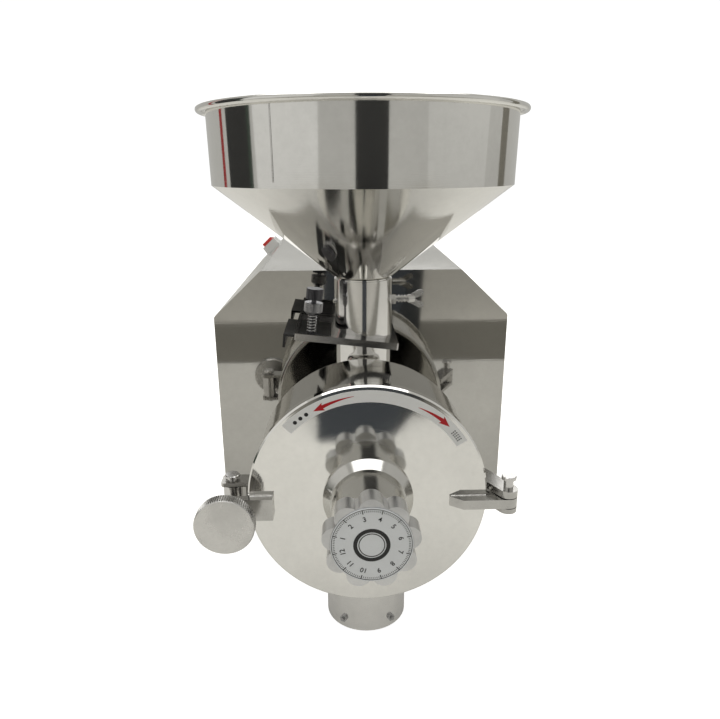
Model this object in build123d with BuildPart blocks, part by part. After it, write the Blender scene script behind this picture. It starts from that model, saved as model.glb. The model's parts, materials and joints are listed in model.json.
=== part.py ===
from build123d import *
from math import cos, radians, sin, sqrt
import os

# Electric disc mill for grain.  A motor inside a folded steel casing drives one grinding disc;
# the other disc sits in the hinged cover and is moved towards it by the numbered star knob.
# Millimetres.  X is to the right seen from the dial, Y runs back along the shaft, Z is up.
# The origin is on the bench, under the middle of the whole machine.

os.makedirs("parts", exist_ok=True)

# ---------------------------------------------------------------- driving sizes
axis_z = 175.0                 # shaft height above the bench

# lengths along the shaft, from the dial to the cable gland
dial_proud = 1.0
knob_thick = 18.0
knob_gap = 1.0
boss_length = 57.5
cover_thick = 9.5
gasket_thick = 0.8
gasket_gap = 0.2
drum_depth = 85.0
neck_length = 85.0
casing_length = 468.0
gland_reach = 18.0
hopper_behind_drum = 33.0

# casing
casing_half_width = 171.0
casing_top_half = 115.0
casing_above = 189.0           # roof above the shaft
casing_shoulder = 136.0        # where the slanted facets start, above the shaft
casing_below = 115.0           # underside below the shaft
casing_corner = 5.0
casing_sheet = 1.5
casing_flange = 22.0
base_sheet = 3.0
foot_x = 95.0
foot_inset = 42.0
foot_top_r = 20.0
foot_bottom_r = 17.0
foot_recess_r = 9.5
foot_bolt_r = 4.0

# grinding chamber
drum_r = 111.0
drum_wall = 3.0
drum_back_wall = 4.0
drum_round = 6.0
cover_lip = 3.0                # the cover stands past the drum
cover_r = drum_r + cover_lip
cover_edge = 1.5
neck_r = 46.0
neck_wall = 4.0
neck_flange_r = 62.0
neck_flange = 6.0
neck_bolt_r = 4.0
neck_bolt_circle = 54.0
spout_r = 42.0
spout_wall = 1.8
spout_drop = 161.5             # spout mouth below the shaft
spout_screw_up = 11.0
disc_r = 88.0
disc_thick = 12.0
disc_gap = 0.5
disc_back_space = 29.0         # from the drum's back wall to the turning disc
groove_count = 24

# shaft and motor
shaft_r = 12.0
shaft_motor_r = 15.0
running = 0.05                 # radial clearance of a running fit
loose = 0.3                    # clearance where curved faces pass each other
bearing_r = 31.0
bearing_width = 16.0
stator_r = 90.0
stator_wall = 6.0
stator_length = 270.0
core_length = 150.0
core_bore_r = 53.5
air_gap = 0.7
bell_depth = 26.0
fan_r = 72.0
fan_width = 20.0
capacitor_r = 24.0
capacitor_length = 95.0

# hopper, throat and gate
throat_r = 30.5
throat_wall = 1.2
throat_length = 58.5
inlet_r = 29.5
inlet_wall = 1.5
gate_bottom = 124.5            # underside of the gate frame above the shaft, at the hopper's axis
gate_thick = 7.0
gate_tilt = 6.5                # degrees; the right-hand end is lower
gate_left = 73.0
gate_right = 35.0
gate_front = 40.0
gate_back = 50.5
gate_skin = 1.8
gate_rail = 4.0
slide_thick = 2.4
slide_front = 36.0
slide_back = 31.0
slide_inner_end = 30.0
slide_outer_end = 84.0
slide_tab = 12.0
hopper_sheet = 1.5
cone_height = 95.0
bowl_height = 71.0
bowl_r = 151.0
bowl_base_r = 149.8
rim_r = 160.0
rim_bead_r = 3.0
spigot_length = 45.0

# cover furniture
boss_ring_r = 43.0
boss_r = 34.5
boss_ring_depth = 11.0
spindle_r = 13.0
carrier_r = 72.0
carrier_thick = 8.0
knob_r = 42.4
knob_lobes = 9
lobe_r = 11.0
dial_r = 35.0
dial_thick = 2.0
dial_rim = 0.8
dial_recess = 0.2
label_outer_r = cover_r - 4.5
label_inner_r = cover_r - 16.0
label_left = 46.0              # degrees from the top
label_right = 57.5
label_thick = 0.3

# hinge and clamp
hinge_reach = 19.5             # hinge pin from the cover's edge
hinge_x = cover_r + hinge_reach
hinge_ahead = 12.0             # hinge pin in front of the drum's rim
pin_r = 4.5
pin_head_r = 7.0
pin_head = 3.5
head_edge = 0.6
pin_stand = 10.0                # hinge pin's head above its ear
clamp_pin_stand = 2.0
knuckle_r = 9.0
arm_top = 1.5                  # above the shaft
arm_height = 9.5
upper_ear = 7.0
lower_ear = 5.0
clamp_reach = 16.5             # clamp pin from the cover's edge
clamp_x = -(cover_r + clamp_reach)
clamp_behind = 8.0             # clamp pin behind the drum's rim
clamp_z = -6.0                 # swing bolt above the shaft
eye_r = 9.0
eye_height = 29.0
clamp_ear = 4.0
clamp_pin_r = 4.5
bolt_r = 5.0
lug_thick = 8.5
lug_height = 22.0
lug_outer = cover_r + 27.0
lug_inner = cover_r - 24.0
clamp_knob_r = 27.5
clamp_knob_thick = 12.0
clamp_hub_r = 11.0
knob_clear = 0.3
clamp_hub = 16.7

# ---------------------------------------------------------------- stations along Y
total_length = (dial_proud + knob_thick + knob_gap + boss_length + cover_thick + gasket_thick
                + gasket_gap + drum_depth + neck_length + casing_length + gland_reach)
y_dial = -total_length / 2
y_knob_front = y_dial + dial_proud
y_knob_back = y_knob_front + knob_thick
y_boss_front = y_knob_back + knob_gap
y_cover_front = y_boss_front + boss_length
y_cover_back = y_cover_front + cover_thick
y_drum_front = y_cover_back + gasket_thick + gasket_gap
y_drum_back = y_drum_front + drum_depth
y_plate = y_drum_back + neck_length
y_casing_back = y_plate + casing_length
y_hopper = y_drum_back + hopper_behind_drum
y_spout = (y_drum_front + y_drum_back) / 2
y_chamber = y_drum_back - drum_back_wall
y_disc_back = y_chamber - disc_back_space
y_disc_front = y_disc_back - disc_thick
y_fixed_back = y_disc_front - disc_gap
y_fixed_front = y_fixed_back - disc_thick
y_carrier_front = y_fixed_front - carrier_thick
y_hinge = y_drum_front - hinge_ahead
y_clamp = y_drum_front + clamp_behind
y_lug_front = y_cover_front - lug_thick
y_bell = y_plate + casing_sheet
y_stator = y_bell + bell_depth
y_stator_back = y_stator + stator_length
y_core = y_stator + (stator_length - core_length) / 2
y_core_back = y_core + core_length
y_rear_bell = y_stator_back + bell_depth
y_fan = y_rear_bell + 10.0

# heights
z_gate = axis_z + gate_bottom
z_throat = z_gate + gate_thick
z_cone = z_throat + throat_length
z_bowl = z_cone + cone_height
z_rim = z_bowl + bowl_height
z_base = axis_z - casing_below + casing_sheet
z_arm = axis_z + arm_top - arm_height
z_bolt = axis_z + clamp_z


# small sizes of the casing, feet and motor
plate_hole_r = shaft_motor_r + 6.0
foot_recess = 8.0
winding = 24.0
cradle_half = 70.0
cradle_width = 30.0
capacitor_x = 110.0
y_capacitor = y_casing_back - 110.0
seal_r = 26.0
neck_end_wall = 10.0
y_front_bearing = y_bell + 6.0
y_front_bearing_back = y_front_bearing + bearing_width
y_rear_bearing = y_rear_bell - 6.0 - bearing_width
y_neck_end = y_plate - neck_end_wall
foot_places = [(x, y) for y in (y_plate + foot_inset, y_casing_back - foot_inset)
               for x in (-foot_x, foot_x)]

# small sizes of the chamber and the cover
screw_hub_r = 18.0
flight_r = neck_r - neck_wall - 1.0
flight_pitch = 60.0
flight_count = 4
blade_pitch = radians(28)
nut_r = 22.0
nut_thick = 10.0
window_r = 31.0
window_width = 9.5
fixed_bore_r = 34.0
groove_width = 2.5
groove_depth = 1.6
spout_screw_r = 2.0
spout_screw_out = 4.4
spout_nut_r = 3.9
spout_nut = 2.6
key_width = 5.0
key_length = 40.0
boss_bore_r = spindle_r + 1.0
spindle_into_knob = 12.0
knob_turn = 10.0
ear_gap = 0.8
slot_gap = 1.0
y_shaft_tip = y_disc_front - nut_thick - 2.0
y_spindle_tip = y_knob_back - spindle_into_knob

# the hinge's outline, from its pin
bracket_in_x = drum_r - drum_wall - hinge_x
bracket_web_x = drum_r + 5.0 - hinge_x
bracket_root_x = drum_r + 7.0 - hinge_x
bracket_root_y = 46.0
bracket_front_y = hinge_ahead + 0.5
bracket_lip_x = cover_r + 2.0 - hinge_x
arm_step_x = cover_r + 1.0 - hinge_x
arm_end_x = cover_r - 36.0 - hinge_x

# small sizes of the gate, throat and wing bolt
bridge_width = 12.0
screw_along = -56.0
screw_across = -30.5
gate_screw_r = 2.5
screw_top_r = 8.5
screw_top = 11.0
lock_nut_r = 9.5
lock_nut_thick = 12.0
spring_length = 20.0
spring_turns = 6
spring_wire_r = 0.8
spring_r = 4.2
wing_up = 35.0
wing_r = 3.0
wing_boss_r = 5.8
wing_boss = 4.5
wing_thread = 13.5
wing_hub_r = 5.0
wing_hub = 7.0
wing_span = 13.0
wing_sheet = 3.0
stud_angle = 72.0
stud_r = 3.5
stud_rise = 2.5


# ---------------------------------------------------------------- helpers
def facing(y, x=0.0, z=axis_z):
    """A plane that looks at the front: local x is X, local y is Z, extrusions come forward."""
    return Plane(origin=(x, y, z), x_dir=(1, 0, 0), z_dir=(0, -1, 0))


def gate_plane(height, along=0.0, across=0.0):
    """A plane in the tilted gate, a height above its underside; local x is the way the gate slides."""
    tilt = radians(gate_tilt)
    level = Plane(origin=(0, y_hopper, z_gate), x_dir=(cos(tilt), 0, -sin(tilt)),
                  z_dir=(sin(tilt), 0, cos(tilt)))
    spot = level.origin + level.x_dir * along + level.y_dir * across + level.z_dir * height
    return Plane(origin=spot, x_dir=level.x_dir, z_dir=level.z_dir)


def turn_on(plane, points, mode=Mode.ADD):
    """Turn an outline of (radius, height) points about a plane's normal."""
    with BuildSketch(Plane(origin=plane.origin, x_dir=plane.x_dir, z_dir=-plane.y_dir)) as outline:
        with BuildLine():
            Polyline(*points, close=True)
        make_face()
    revolve(outline.sketch, axis=Axis(plane.origin, plane.z_dir), mode=mode)


def turn_y(points, x=0.0, z=axis_z, mode=Mode.ADD):
    """Turn an outline of (radius, y) points about a line along Y."""
    with BuildSketch(Plane((x, 0, z))) as outline:
        with BuildLine():
            Polyline(*points, close=True)
        make_face()
    revolve(outline.sketch, axis=Axis((x, 0, z), (0, 1, 0)), mode=mode)


def turn_z(points, x=0.0, y=y_hopper, mode=Mode.ADD):
    """Turn an outline of (radius, z) points about an upright line."""
    with BuildSketch(facing(y, x, 0)) as outline:
        with BuildLine():
            Polyline(*points, close=True)
        make_face()
    revolve(outline.sketch, axis=Axis((x, y, 0), (0, 0, 1)), mode=mode)


def rod_y(radius, y0, y1, x=0.0, z=axis_z, mode=Mode.ADD):
    """A round bar or hole along Y."""
    turn_y([(0, y0), (radius, y0), (radius, y1), (0, y1)], x, z, mode)


def ring_y(outer, inner, y0, y1, x=0.0, z=axis_z, mode=Mode.ADD):
    """A plain ring about a line along Y."""
    turn_y([(inner, y0), (outer, y0), (outer, y1), (inner, y1)], x, z, mode)


def ring_z(outer, inner, z0, z1, x=0.0, y=y_hopper, mode=Mode.ADD):
    """A plain ring about an upright line."""
    turn_z([(inner, z0), (outer, z0), (outer, z1), (inner, z1)], x, y, mode)


def casing_face(y, inset=0.0):
    """The casing's outline at y, set in by a distance."""
    with BuildSketch(facing(y)) as face:
        with BuildLine():
            Polyline((casing_half_width, -casing_below), (casing_half_width, casing_shoulder),
                     (casing_top_half, casing_above), (-casing_top_half, casing_above),
                     (-casing_half_width, casing_shoulder), (-casing_half_width, -casing_below),
                     close=True)
        make_face()
        fillet(face.vertices(), casing_corner)
        if inset:
            offset(amount=-inset, mode=Mode.REPLACE)
    return face.sketch


def knurl(plane, radius, depth, count, length):
    """Cut fine straight grooves round a knob, from the plane along its normal."""
    with BuildSketch(plane) as grooves:
        with PolarLocations(radius, count):
            Rectangle(depth, depth, rotation=45)
    extrude(grooves.sketch, amount=length, mode=Mode.SUBTRACT)


def finish(piece, label):
    """Name a piece and write it."""
    piece.part.label = label
    export_step(piece.part, f"parts/{label}.step")


def sweep_point(angle, reach=2.2):
    """A far point at an angle, to cut a pie slice with."""
    return (reach * label_outer_r * cos(radians(angle)), reach * label_outer_r * sin(radians(angle)))


def side_plane(x, z):
    """A plane that looks to the right, over the hopper's axis."""
    return Plane(origin=(x, y_hopper, z), x_dir=(0, 1, 0), z_dir=(1, 0, 0))


def spout_screw_plane(angle):
    """A plane on the spout's outside, turned from the front about its axis."""
    way = Vector(sin(radians(angle)), -cos(radians(angle)), 0)
    return Plane(origin=Vector(0, y_spout, axis_z - spout_drop + spout_screw_up) + way * spout_r,
                 x_dir=(cos(radians(angle)), sin(radians(angle)), 0), z_dir=way)


def cut_grooves(y_from):
    """Cut slanted feed grooves forward from y, one groove deep, into a grinding face."""
    with BuildSketch(facing(y_from)) as cuts:
        with PolarLocations((disc_r + fixed_bore_r) / 2 + 4, groove_count):
            Rectangle(disc_r - fixed_bore_r + 6, groove_width, rotation=18)
        Circle(fixed_bore_r + 4, mode=Mode.SUBTRACT)
    extrude(cuts.sketch, amount=groove_depth, mode=Mode.SUBTRACT)


# ---------------------------------------------------------------- casing
vent_rows = 9
vent_length = 46.0
vent_height = 5.0
screw_r = 2.5
screw_head_r = 4.6
screw_head = 2.6
gland_r = 8.0
gland_bore_r = 4.2
gland_x = -105.0
gland_up = -60.0
rear_screw_levels = (-95.0, 0.0, 105.0)
rear_screws = [(x, up) for x in (-150.0, 150.0) for up in rear_screw_levels]
screw_length = 9.0
tab_reach = 30.0
tab_height = 18.0
tab_sheet = 2.0

# the switch's place on the left slanted facet
facet_run = casing_half_width - casing_top_half
facet_rise = casing_above - casing_shoulder
facet_length = sqrt(facet_run ** 2 + facet_rise ** 2)
switch_from_back = 38.0
bezel_along = 36.0
bezel_across = 30.0
bezel_thick = 13.0
bezel_taper = 6.0
bezel_lip = 2.5
switch_depth = 24.0
pocket_depth = 11.0
rocker_along = 25.0
rocker_across = 20.0
rocker_root = 5.0
rocker_rise = 7.0
rocker_tilt = 8.0
rocker_swing = 3.0
rocker_axle = 24.0
rocker_axle_r = 1.5
slope = Vector(facet_run, 0, facet_rise) / facet_length
outward = Vector(-facet_rise, 0, facet_run) / facet_length
facet_middle = Vector(-(casing_half_width + casing_top_half) / 2, y_casing_back - switch_from_back,
                      axis_z + (casing_above + casing_shoulder) / 2)


# the rocker leans one way at rest; it tilts about an axle across its width
rocker_up = bezel_thick - 3.0
rocker_up_way = outward * cos(radians(rocker_tilt)) + Vector(0, sin(radians(rocker_tilt)), 0)


def facet_plane(height=0.0):
    """The switch's place on the slanted facet: local x runs up the slope, local z points out."""
    return Plane(origin=facet_middle + outward * height, x_dir=slope, z_dir=outward)


def rocker_axle_plane(length):
    """A plane across the lower end of the rocker's axle, looking along it."""
    return Plane(origin=facet_middle + outward * rocker_up - slope * length / 2,
                 x_dir=(0, 1, 0), z_dir=slope)


with BuildPart() as casing_shell:
    extrude(casing_face(y_plate + casing_sheet), amount=casing_length - 2 * casing_sheet,
            dir=(0, 1, 0))
    extrude(casing_face(y_plate, casing_sheet), amount=casing_length, dir=(0, 1, 0),
            mode=Mode.SUBTRACT)
    with BuildSketch(Plane.XY.offset(axis_z - casing_below - 1)):
        with Locations((0, y_plate + casing_length / 2)):
            Rectangle(2 * (casing_half_width - casing_flange), casing_length)
    extrude(amount=casing_sheet + 2, mode=Mode.SUBTRACT)
    with BuildSketch(facet_plane(-casing_sheet - 2)):
        Rectangle(bezel_across - 2 * bezel_lip, bezel_along - 2 * bezel_lip)
    extrude(amount=casing_sheet + 4, mode=Mode.SUBTRACT)
    with BuildSketch(facing(y_casing_back - casing_sheet)):
        with GridLocations(2 * casing_half_width - 2 * casing_sheet - tab_reach, 1, 2, 1):
            with Locations(*[(0, up) for up in rear_screw_levels]):
                Rectangle(tab_reach, tab_height)
        with Locations(*rear_screws):
            Circle(screw_r, mode=Mode.SUBTRACT)
    extrude(amount=tab_sheet)
finish(casing_shell, "casing_shell")

with BuildPart() as front_plate:
    extrude(casing_face(y_plate), amount=casing_sheet, dir=(0, 1, 0))
    rod_y(plate_hole_r, y_plate - 1, y_plate + casing_sheet + 1, mode=Mode.SUBTRACT)
    with BuildSketch(facing(y_plate + casing_sheet + 1)):
        with PolarLocations(neck_bolt_circle, 4, 45):
            Circle(neck_bolt_r)
    extrude(amount=casing_sheet + 2, mode=Mode.SUBTRACT)
finish(front_plate, "front_plate")

with BuildPart() as rear_plate:
    extrude(casing_face(y_casing_back - casing_sheet), amount=casing_sheet, dir=(0, 1, 0))
    with BuildSketch(facing(y_casing_back + 1, z=axis_z + 15)):
        with GridLocations(vent_length + 12, 2.6 * vent_height, 3, vent_rows):
            SlotOverall(vent_length, vent_height)
    extrude(amount=casing_sheet + 2, mode=Mode.SUBTRACT)
    rod_y(gland_r, y_casing_back - 3, y_casing_back + 1, gland_x, axis_z + gland_up, Mode.SUBTRACT)
    for x, z in rear_screws:
        rod_y(screw_r, y_casing_back - 3, y_casing_back + 1, x, axis_z + z, Mode.SUBTRACT)
finish(rear_plate, "rear_plate")

# the shell's small tabs take the rear plate's screws
with BuildPart() as rear_plate_screws:
    for x, z in rear_screws:
        turn_y([(0, y_casing_back - screw_length), (screw_r, y_casing_back - screw_length),
                (screw_r, y_casing_back),
                (screw_head_r, y_casing_back), (screw_head_r * 0.8, y_casing_back + screw_head),
                (0, y_casing_back + screw_head)], x, axis_z + z)
finish(rear_plate_screws, "rear_plate_screws")

with BuildPart() as base_plate:
    with BuildSketch(Plane.XY.offset(z_base)):
        with Locations((0, y_plate + casing_length / 2)):
            Rectangle(2 * (casing_half_width - casing_corner), casing_length - 2 * casing_sheet - 1)
    extrude(amount=base_sheet)
    with BuildSketch(Plane.XY.offset(z_base - 1)):
        with Locations(*foot_places):
            Circle(foot_bolt_r)
    extrude(amount=base_sheet + 2, mode=Mode.SUBTRACT)
    with BuildSketch(Plane.XY.offset(z_base - 1)):
        with Locations((0, y_fan)):
            with GridLocations(16, 60, 7, 1):
                SlotOverall(60, vent_height, rotation=90)
    extrude(amount=base_sheet + 2, mode=Mode.SUBTRACT)
finish(base_plate, "base_plate")

for place, (x, y) in zip(("front_left", "front_right", "rear_left", "rear_right"), foot_places):
    with BuildPart() as foot:
        turn_z([(foot_recess_r, 0), (foot_bottom_r - 1, 0), (foot_bottom_r, 1), (foot_top_r, z_base),
                (foot_bolt_r, z_base), (foot_bolt_r, foot_recess), (foot_recess_r, foot_recess)], x, y)
    finish(foot, f"foot_{place}")

with BuildPart() as foot_bolts:
    for x, y in foot_places:
        ring_z(foot_bolt_r + 4, 0, foot_recess - 5, foot_recess, x, y)
        ring_z(foot_bolt_r, 0, foot_recess, z_base + base_sheet + 9, x, y)
        with BuildSketch(Plane.XY.offset(z_base + base_sheet)):
            with Locations((x, y)):
                RegularPolygon(foot_bolt_r + 3.5, 6)
        extrude(amount=6)
finish(foot_bolts, "foot_bolts")

with BuildPart() as switch_bezel:
    with BuildSketch(facet_plane()):
        RectangleRounded(bezel_across, bezel_along, 2)
    extrude(amount=bezel_thick, taper=bezel_taper)
    with BuildSketch(facet_plane(-switch_depth)):
        Rectangle(bezel_across - 2 * bezel_lip, bezel_along - 2 * bezel_lip)
    extrude(amount=switch_depth + 0.5)
    with BuildSketch(facet_plane(bezel_thick - pocket_depth)):
        Rectangle(rocker_across + 2 * loose, rocker_along + rocker_swing)
    extrude(amount=pocket_depth + 1, mode=Mode.SUBTRACT)
    with BuildSketch(rocker_axle_plane(rocker_axle + 1)):
        Circle(rocker_axle_r + running)
    extrude(amount=rocker_axle + 1, mode=Mode.SUBTRACT)
finish(switch_bezel, "switch_bezel")


def rocker_plane(height):
    """The leaning rocker's own plane: local x across it, local z out of its face."""
    middle = facet_middle + outward * rocker_up + rocker_up_way * height
    return Plane(origin=middle, x_dir=slope, z_dir=rocker_up_way)


with BuildPart() as rocker:
    with BuildSketch(rocker_plane(-rocker_root)):
        Rectangle(rocker_across, rocker_along - rocker_root)
    extrude(amount=rocker_root)
    with BuildSketch(rocker_plane(0)):
        Rectangle(rocker_across, rocker_along)
    extrude(amount=rocker_rise)
    fillet(rocker.edges().group_by(Axis((0, 0, 0), tuple(rocker_up_way)))[-1], 1)
    with BuildSketch(rocker_axle_plane(rocker_axle)):
        Circle(rocker_axle_r)
    extrude(amount=rocker_axle)
finish(rocker, "rocker")

with BuildPart() as cable_gland:
    gland_z = axis_z + gland_up
    ring_y(gland_r, gland_bore_r, y_casing_back - 12, y_casing_back, gland_x, gland_z)
    with BuildSketch(facing(y_casing_back + 7, gland_x, gland_z)):
        RegularPolygon(gland_r + 4, 6)
    extrude(amount=7)
    ring_y(gland_r + 4, gland_bore_r, y_casing_back - 6, y_casing_back - casing_sheet, gland_x, gland_z)
    turn_y([(gland_bore_r, y_casing_back + 7), (gland_r + 2, y_casing_back + 7),
            (gland_r + 2, y_casing_back + 12), (gland_bore_r + 2, y_casing_back + gland_reach),
            (gland_bore_r, y_casing_back + gland_reach)], gland_x, gland_z)
    rod_y(gland_bore_r, y_casing_back - 13, y_casing_back + gland_reach + 1, gland_x, gland_z,
          Mode.SUBTRACT)
finish(cable_gland, "cable_gland")

# ---------------------------------------------------------------- motor
with BuildPart() as stator_shell:
    ring_y(stator_r, stator_r - stator_wall, y_stator, y_stator_back)
    with BuildSketch(facing(y_stator_back - 8)):
        with PolarLocations(stator_r + 2, 24, -40, 260):
            Rectangle(6, 2.4)
    extrude(amount=stator_length - 16)
finish(stator_shell, "stator_shell")

with BuildPart() as stator_core:
    ring_y(stator_r - stator_wall, core_bore_r, y_core, y_core_back)
finish(stator_core, "stator_core")

with BuildPart() as stator_windings:
    for y0, y1 in ((y_core - winding, y_core), (y_core_back, y_core_back + winding)):
        turn_y([(core_bore_r + 5, y0 + 4), (core_bore_r + 9, y0), (stator_r - stator_wall - 9, y0),
                (stator_r - stator_wall - 5, y0 + 4), (stator_r - stator_wall - 5, y1 - 4),
                (stator_r - stator_wall - 9, y1), (core_bore_r + 9, y1), (core_bore_r + 5, y1 - 4)])
finish(stator_windings, "stator_windings")

bell_wall = 6.0
with BuildPart() as front_bell:
    turn_y([(shaft_motor_r + 2, y_bell), (stator_r, y_bell), (stator_r, y_stator),
            (stator_r - bell_wall, y_stator), (stator_r - bell_wall, y_bell + bell_wall),
            (bearing_r + bell_wall, y_bell + bell_wall), (bearing_r + bell_wall, y_front_bearing_back),
            (bearing_r, y_front_bearing_back), (bearing_r, y_front_bearing),
            (shaft_motor_r + 2, y_front_bearing)])
    with BuildSketch(facing(y_bell + bell_wall + 1)):
        with PolarLocations(neck_bolt_circle, 4, 45):
            Circle(neck_bolt_r)
    extrude(amount=bell_wall + 2, mode=Mode.SUBTRACT)
finish(front_bell, "front_bell")

with BuildPart() as rear_bell:
    turn_y([(shaft_motor_r + 2, y_rear_bell), (stator_r, y_rear_bell), (stator_r, y_stator_back),
            (stator_r - bell_wall, y_stator_back), (stator_r - bell_wall, y_rear_bell - bell_wall),
            (bearing_r + bell_wall, y_rear_bell - bell_wall), (bearing_r + bell_wall, y_rear_bearing),
            (bearing_r, y_rear_bearing), (bearing_r, y_rear_bearing + bearing_width),
            (shaft_motor_r + 2, y_rear_bearing + bearing_width)])
finish(rear_bell, "rear_bell")

for name, y0 in (("front_bearing", y_front_bearing), ("rear_bearing", y_rear_bearing)):
    with BuildPart() as bearing:
        ring_y(bearing_r, shaft_motor_r + running, y0, y0 + bearing_width)
        for face_y in (y0 - 1, y0 + bearing_width - 1.5):
            ring_y(bearing_r - 5, shaft_motor_r + 4.5, face_y, face_y + 2.5, mode=Mode.SUBTRACT)
    finish(bearing, name)

with BuildPart() as rotor_core:
    ring_y(core_bore_r - air_gap, shaft_motor_r, y_core, y_core_back)
    for y0 in (y_core - 8, y_core_back):
        ring_y(core_bore_r - air_gap - 4, core_bore_r - air_gap - 18, y0, y0 + 8)
finish(rotor_core, "rotor_core")

with BuildPart() as main_shaft:
    turn_y([(0, y_shaft_tip), (shaft_r - 1, y_shaft_tip), (shaft_r, y_shaft_tip + 1),
            (shaft_r, y_front_bearing - 6), (shaft_motor_r, y_front_bearing - 6),
            (shaft_motor_r, y_fan - 4), (shaft_r, y_fan - 4), (shaft_r, y_fan + fan_width + 4),
            (0, y_fan + fan_width + 4)])
finish(main_shaft, "main_shaft")

with BuildPart() as cooling_fan:
    ring_y(shaft_r + 8, shaft_r, y_fan, y_fan + fan_width)
    ring_y(fan_r, shaft_r + 7, y_fan, y_fan + 2.5)
    with BuildSketch(facing(y_fan + fan_width)) as blades:
        with PolarLocations((fan_r + shaft_r) / 2 + 3, 9):
            Rectangle(fan_r - shaft_r - 12, 2.5)
    extrude(blades.sketch, amount=fan_width - 2)
finish(cooling_fan, "cooling_fan")

with BuildPart() as motor_cradle:
    for y0 in (y_stator + 30, y_stator_back - 30 - cradle_width):
        with BuildSketch(facing(y0)):
            with BuildLine():
                Polyline((-cradle_half, -casing_below + casing_sheet + base_sheet),
                         (cradle_half, -casing_below + casing_sheet + base_sheet),
                         (cradle_half * 0.8, -stator_r * 0.72), (-cradle_half * 0.8, -stator_r * 0.72),
                         close=True)
            make_face()
            Circle(stator_r, mode=Mode.SUBTRACT)
        extrude(amount=-cradle_width)
    with BuildSketch(Plane.XY.offset(z_base + base_sheet)):
        with Locations((0, (y_stator + y_stator_back) / 2)):
            Rectangle(2 * cradle_half, y_stator_back - y_stator - 60)
    extrude(amount=base_sheet)
finish(motor_cradle, "motor_cradle")

with BuildPart() as run_capacitor:
    z_foot = z_base + base_sheet
    ring_z(capacitor_r, 0, z_foot, z_foot + capacitor_length, capacitor_x, y_capacitor)
    ring_z(6, 0, z_foot + capacitor_length, z_foot + capacitor_length + 8, capacitor_x, y_capacitor)
    fillet(run_capacitor.edges().group_by(Axis.Z)[2], 2)
finish(run_capacitor, "run_capacitor")

# ---------------------------------------------------------------- feed neck and drum
with BuildPart() as feed_neck:
    ring_z(inlet_r, 0, axis_z, z_gate + 12)
    with BuildSketch(gate_plane(0)) as gate_seat:
        Rectangle(3 * inlet_r, 3 * inlet_r)
    extrude(gate_seat.sketch, amount=40, mode=Mode.SUBTRACT)
    rod_y(neck_r, y_drum_back, y_plate)
    rod_y(neck_flange_r, y_plate - neck_flange, y_plate)
    rod_y(neck_r - neck_wall, y_drum_back - 1, y_neck_end, mode=Mode.SUBTRACT)
    rod_y(seal_r, y_neck_end - 1, y_plate + 1, mode=Mode.SUBTRACT)
    ring_z(inlet_r - inlet_wall, 0, axis_z, z_gate + 20, mode=Mode.SUBTRACT)
    with BuildSketch(facing(y_plate + 1)):
        with PolarLocations(neck_bolt_circle, 4, 45):
            Circle(neck_bolt_r)
    extrude(amount=neck_flange + 2, mode=Mode.SUBTRACT)
finish(feed_neck, "feed_neck")

with BuildPart() as neck_bolts:
    with BuildSketch(facing(y_bell + bell_wall)) as bolt_shanks:
        with PolarLocations(neck_bolt_circle, 4, 45):
            Circle(neck_bolt_r)
    extrude(bolt_shanks.sketch, amount=bell_wall + casing_sheet + neck_flange)
    with BuildSketch(facing(y_plate - neck_flange)) as bolt_heads:
        with PolarLocations(neck_bolt_circle, 4, 45):
            RegularPolygon(neck_bolt_r + 3.4, 6)
    extrude(bolt_heads.sketch, amount=5.3)
finish(neck_bolts, "neck_bolts")

with BuildPart() as shaft_seal:
    ring_y(seal_r, shaft_r + running, y_neck_end, y_plate)
    ring_y(seal_r - 2.5, shaft_r + 3, y_neck_end + 2, y_plate + 1, mode=Mode.SUBTRACT)
finish(shaft_seal, "shaft_seal")

with BuildPart() as drum:
    turn_y([(neck_r - neck_wall, y_drum_back), (drum_r, y_drum_back), (drum_r, y_drum_front),
            (drum_r - drum_wall, y_drum_front), (drum_r - drum_wall, y_chamber),
            (neck_r - neck_wall, y_chamber)])
    fillet(drum.edges().group_by(Axis.Y)[-1].sort_by(SortBy.RADIUS)[-1], drum_round)
    mouth_top = axis_z - sqrt((drum_r - drum_wall) ** 2 - spout_r ** 2)
    ring_z(spout_r - spout_wall, 0, axis_z - drum_r - 5, mouth_top, 0, y_spout, Mode.SUBTRACT)
finish(drum, "drum")

with BuildPart() as spout:
    ring_z(spout_r, spout_r - spout_wall, axis_z - spout_drop, axis_z - drum_r * 0.85, 0, y_spout)
    rod_y(drum_r, y_drum_front - 2, y_drum_back + 2, mode=Mode.SUBTRACT)
    for angle in (-35, 35):
        with BuildSketch(spout_screw_plane(angle)):
            Circle(spout_screw_r)
        extrude(amount=-spout_r, mode=Mode.SUBTRACT)
finish(spout, "spout")

with BuildPart() as spout_screws:
    for angle in (-35, 35):
        with BuildSketch(spout_screw_plane(angle)) as shank:
            Circle(spout_screw_r)
        extrude(shank.sketch, amount=-spout_wall)
        extrude(shank.sketch, amount=spout_screw_out)
        with BuildSketch(spout_screw_plane(angle)) as nut:
            RegularPolygon(spout_nut_r, 6)
        extrude(nut.sketch, amount=spout_nut)
finish(spout_screws, "spout_screws")

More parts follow.
